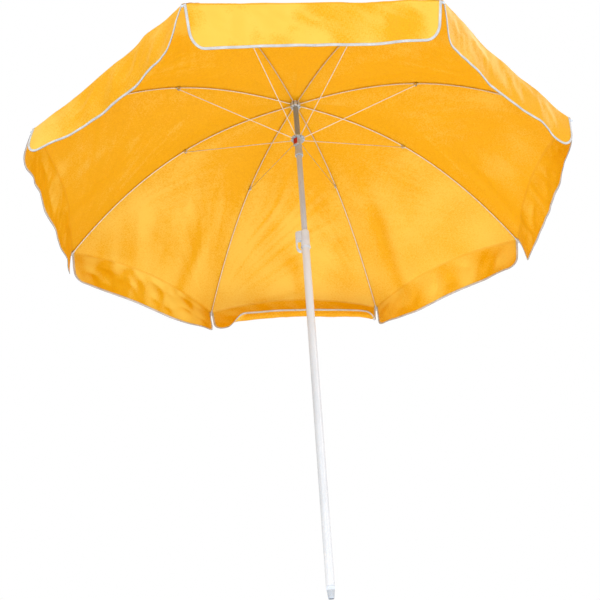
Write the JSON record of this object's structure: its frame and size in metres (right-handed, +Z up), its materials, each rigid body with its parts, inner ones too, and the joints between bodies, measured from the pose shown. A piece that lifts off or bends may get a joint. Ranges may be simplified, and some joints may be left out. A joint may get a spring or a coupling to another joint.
{
  "type": "beach umbrella",
  "caption": "Octagonal beach umbrella with scalloped valances, wire ribs and struts, a sliding runner with a push button, and a two-part telescoping pole with a finger-lever lock.",
  "frame": {"origin": "blunt end of the ground spike, on the pole's axis", "axes": "+Z up along the pole; -Y is the front gore between two ribs"},
  "size_m": [1.6442, 1.6442, 1.743],
  "materials": {
    "canvas": "satin woven polyester",
    "wire": "bright zinc",
    "steel": "satin",
    "white_paint": "semi-gloss powder coat",
    "grey_paint": "semi-gloss powder coat",
    "white_plastic": "moulded satin",
    "red_plastic": "gloss"
  },
  "bodies": {
    "lower": {"ground_spike": "white_plastic", "lower_pole": "white_paint", "lock_collar": "white_plastic", "lever_pin": "steel"},
    "lever": {"lock_lever": "white_plastic"},
    "upper": {"upper_pole": "grey_paint", "guide_bush": "white_plastic", "hub": "white_plastic", "hub_ring": "steel", "top_cap": "white_plastic"},
    "runner": {"runner": "white_plastic", "button_spring": "steel"},
    "button": {"runner_button": "red_plastic"},
    "rib_1": {"rib_1": "wire", "strut_clip_1": "wire", "tip_cap_1": "white_plastic", "canopy_1": "canvas"},
    "strut_1": {"strut_1": "wire"},
    "rib_2": {"rib_2": "wire", "strut_clip_2": "wire", "tip_cap_2": "white_plastic", "canopy_2": "canvas"},
    "strut_2": {"strut_2": "wire"},
    "rib_3": {"rib_3": "wire", "strut_clip_3": "wire", "tip_cap_3": "white_plastic", "canopy_3": "canvas"},
    "strut_3": {"strut_3": "wire"},
    "rib_4": {"rib_4": "wire", "strut_clip_4": "wire", "tip_cap_4": "white_plastic", "canopy_4": "canvas"},
    "strut_4": {"strut_4": "wire"},
    "rib_5": {"rib_5": "wire", "strut_clip_5": "wire", "tip_cap_5": "white_plastic", "canopy_5": "canvas"},
    "strut_5": {"strut_5": "wire"},
    "rib_6": {"rib_6": "wire", "strut_clip_6": "wire", "tip_cap_6": "white_plastic", "canopy_6": "canvas"},
    "strut_6": {"strut_6": "wire"},
    "rib_7": {"rib_7": "wire", "strut_clip_7": "wire", "tip_cap_7": "white_plastic", "canopy_7": "canvas"},
    "strut_7": {"strut_7": "wire"},
    "rib_8": {"rib_8": "wire", "strut_clip_8": "wire", "tip_cap_8": "white_plastic", "canopy_8": "canvas"},
    "strut_8": {"strut_8": "wire"}
  },
  "joints": [
    {"name": "runner_slide", "type": "slide", "parent": "upper", "child": "runner", "axis": [0, 0, -1], "range_m": [0, 0.6276], "deforming": ["canopy_1", "canopy_2", "canopy_3", "canopy_4", "canopy_5", "canopy_6", "canopy_7", "canopy_8"]},
    {"name": "pole_draw", "type": "slide", "parent": "lower", "child": "upper", "axis": [0, 0, 1], "range_m": [0, 0.4]},
    {"name": "rib_fold_1", "type": "hinge", "parent": "upper", "child": "rib_1", "pos_m": [-0.00536, -0.01293, 1.706], "axis": [0.9239, -0.3827, 0], "range_deg": [0, 59]},
    {"name": "strut_fold_1", "type": "hinge", "parent": "rib_1", "child": "strut_1", "pos_m": [-0.1645, -0.39715, 1.63899], "axis": [-0.9239, 0.3827, 0], "range_deg": [0, 115.96]},
    {"name": "rib_fold_2", "type": "hinge", "parent": "upper", "child": "rib_2", "pos_m": [0.00536, -0.01293, 1.706], "axis": [0.9239, 0.3827, 0], "range_deg": [0, 59]},
    {"name": "strut_fold_2", "type": "hinge", "parent": "rib_2", "child": "strut_2", "pos_m": [0.1645, -0.39715, 1.63899], "axis": [-0.9239, -0.3827, 0], "range_deg": [0, 115.96]},
    {"name": "rib_fold_3", "type": "hinge", "parent": "upper", "child": "rib_3", "pos_m": [0.01293, -0.00536, 1.706], "axis": [0.3827, 0.9239, 0], "range_deg": [0, 59]},
    {"name": "strut_fold_3", "type": "hinge", "parent": "rib_3", "child": "strut_3", "pos_m": [0.39715, -0.1645, 1.63899], "axis": [-0.3827, -0.9239, 0], "range_deg": [0, 115.96]},
    {"name": "rib_fold_4", "type": "hinge", "parent": "upper", "child": "rib_4", "pos_m": [0.01293, 0.00536, 1.706], "axis": [-0.3827, 0.9239, 0], "range_deg": [0, 59]},
    {"name": "strut_fold_4", "type": "hinge", "parent": "rib_4", "child": "strut_4", "pos_m": [0.39715, 0.1645, 1.63899], "axis": [0.3827, -0.9239, 0], "range_deg": [0, 115.96]},
    {"name": "rib_fold_5", "type": "hinge", "parent": "upper", "child": "rib_5", "pos_m": [0.00536, 0.01293, 1.706], "axis": [-0.9239, 0.3827, 0], "range_deg": [0, 59]},
    {"name": "strut_fold_5", "type": "hinge", "parent": "rib_5", "child": "strut_5", "pos_m": [0.1645, 0.39715, 1.63899], "axis": [0.9239, -0.3827, 0], "range_deg": [0, 115.96]},
    {"name": "rib_fold_6", "type": "hinge", "parent": "upper", "child": "rib_6", "pos_m": [-0.00536, 0.01293, 1.706], "axis": [-0.9239, -0.3827, 0], "range_deg": [0, 59]},
    {"name": "strut_fold_6", "type": "hinge", "parent": "rib_6", "child": "strut_6", "pos_m": [-0.1645, 0.39715, 1.63899], "axis": [0.9239, 0.3827, 0], "range_deg": [0, 115.96]},
    {"name": "rib_fold_7", "type": "hinge", "parent": "upper", "child": "rib_7", "pos_m": [-0.01293, 0.00536, 1.706], "axis": [-0.3827, -0.9239, 0], "range_deg": [0, 59]},
    {"name": "strut_fold_7", "type": "hinge", "parent": "rib_7", "child": "strut_7", "pos_m": [-0.39715, 0.1645, 1.63899], "axis": [0.3827, 0.9239, 0], "range_deg": [0, 115.96]},
    {"name": "rib_fold_8", "type": "hinge", "parent": "upper", "child": "rib_8", "pos_m": [-0.01293, -0.00536, 1.706], "axis": [0.3827, -0.9239, 0], "range_deg": [0, 59]},
    {"name": "strut_fold_8", "type": "hinge", "parent": "rib_8", "child": "strut_8", "pos_m": [-0.39715, -0.1645, 1.63899], "axis": [-0.3827, 0.9239, 0], "range_deg": [0, 115.96]},
    {"name": "lever_swing", "type": "hinge", "parent": "lower", "child": "lever", "pos_m": [-0.0185, 0, 1.16], "axis": [0, 1, 0], "range_deg": [0, 16], "stiffness_Nm_per_rad": 0.3, "springref_deg": -20.05},
    {"name": "button_press", "type": "slide", "parent": "runner", "child": "button", "axis": [0.6157, 0.788, 0], "range_m": [0, 0.0025], "stiffness_N_per_m": 400, "springref_m": -0.002, "deforming": ["button_spring"]}
  ],
  "couplings": [
    {"joint": "pole_draw", "follows": "runner_slide", "ratio": 0.63735},
    {"joint": "rib_fold_1", "follows": "runner_slide", "rad_per_m": 1.6408},
    {"joint": "strut_fold_1", "follows": "runner_slide", "rad_per_m": 3.2249},
    {"joint": "rib_fold_2", "follows": "runner_slide", "rad_per_m": 1.6408},
    {"joint": "strut_fold_2", "follows": "runner_slide", "rad_per_m": 3.2249},
    {"joint": "rib_fold_3", "follows": "runner_slide", "rad_per_m": 1.6408},
    {"joint": "strut_fold_3", "follows": "runner_slide", "rad_per_m": 3.2249},
    {"joint": "rib_fold_4", "follows": "runner_slide", "rad_per_m": 1.6408},
    {"joint": "strut_fold_4", "follows": "runner_slide", "rad_per_m": 3.2249},
    {"joint": "rib_fold_5", "follows": "runner_slide", "rad_per_m": 1.6408},
    {"joint": "strut_fold_5", "follows": "runner_slide", "rad_per_m": 3.2249},
    {"joint": "rib_fold_6", "follows": "runner_slide", "rad_per_m": 1.6408},
    {"joint": "strut_fold_6", "follows": "runner_slide", "rad_per_m": 3.2249},
    {"joint": "rib_fold_7", "follows": "runner_slide", "rad_per_m": 1.6408},
    {"joint": "strut_fold_7", "follows": "runner_slide", "rad_per_m": 3.2249},
    {"joint": "rib_fold_8", "follows": "runner_slide", "rad_per_m": 1.6408},
    {"joint": "strut_fold_8", "follows": "runner_slide", "rad_per_m": 3.2249}
  ]
}
